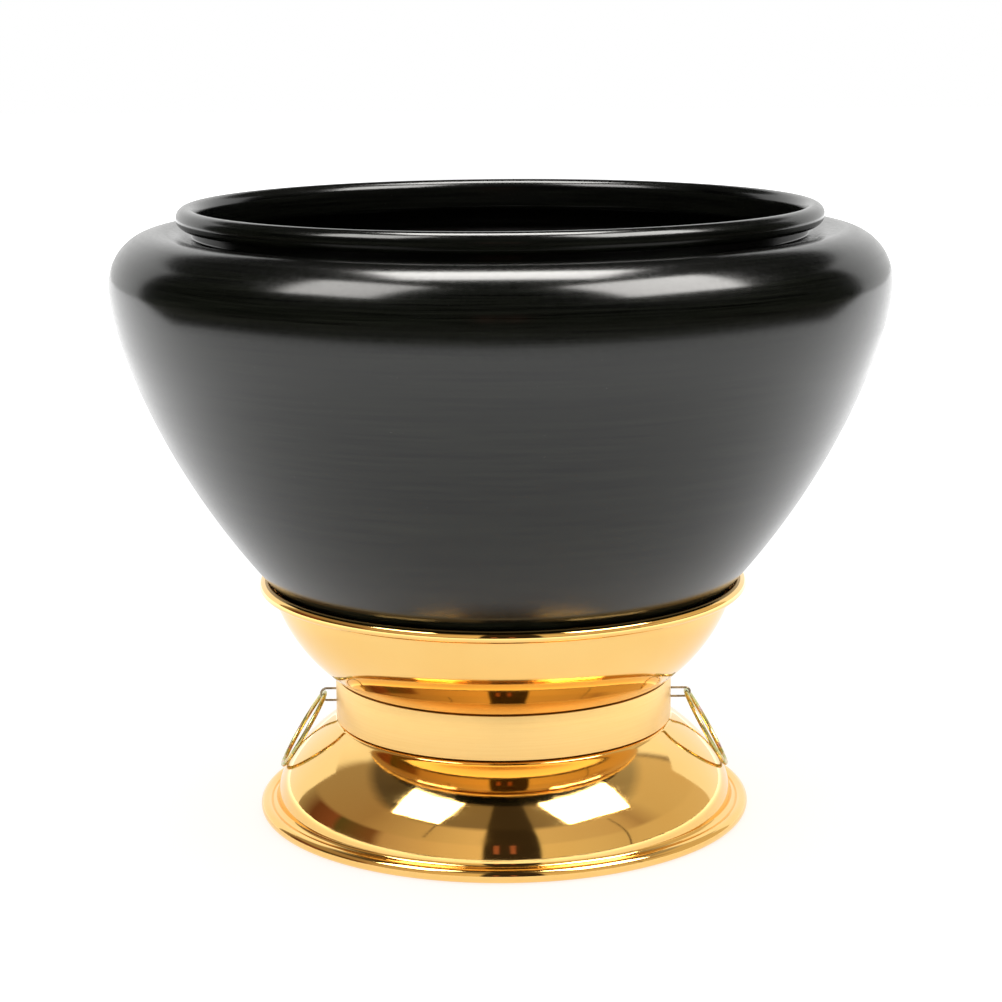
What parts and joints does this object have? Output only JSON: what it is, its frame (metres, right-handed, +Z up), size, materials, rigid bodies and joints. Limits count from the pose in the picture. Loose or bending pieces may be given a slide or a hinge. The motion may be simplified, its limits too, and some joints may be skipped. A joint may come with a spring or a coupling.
{
  "type": "bowl on pedestal stand",
  "caption": "Wide-shouldered spun-metal bowl with a rolled lip, resting on a low gold pedestal stand with a domed foot and loose wire rings at its waist.",
  "frame": {"origin": "centre of the stand's underside, where the foot meets the table", "axes": "+Z up along the axis of the bowl and its stand, +X through the right-hand ring, -Y towards the front"},
  "size_m": [0.203, 0.203, 0.163],
  "materials": {
    "black_coating": "satin black coating over fine turning lines",
    "gold_polished": "gold anodised, polished",
    "gold_brushed": "gold anodised, satin brushed round",
    "yellow_zinc_ring": "yellow zinc plated wire, iridescent",
    "steel_staple": "dull plated wire",
    "rivet_aluminium": "bare"
  },
  "bodies": {
    "stand": {"stand_foot": "gold_polished", "waist_collar": "gold_brushed", "stand_dish": "gold_polished", "staple_left": "steel_staple", "staple_right": "steel_staple", "rivet_1": "rivet_aluminium", "rivet_2": "rivet_aluminium", "rivet_3": "rivet_aluminium", "rivet_4": "rivet_aluminium"},
    "bowl": {"bowl": "black_coating"},
    "ring_left": {"ring_left": "yellow_zinc_ring"},
    "ring_right": {"ring_right": "yellow_zinc_ring"}
  },
  "joints": [
    {"name": "bowl_lift", "type": "slide", "parent": "stand", "child": "bowl", "axis": [0, 0, 1], "range_m": [0, 0.1]},
    {"name": "ring_left_swing", "type": "hinge", "parent": "stand", "child": "ring_left", "pos_m": [-0.0484, 0, 0.0305], "axis": [0, 1, 0], "range_deg": [0, 118]},
    {"name": "ring_right_swing", "type": "hinge", "parent": "stand", "child": "ring_right", "pos_m": [0.0494, 0, 0.0305], "axis": [0, -1, 0], "range_deg": [0, 118]}
  ]
}
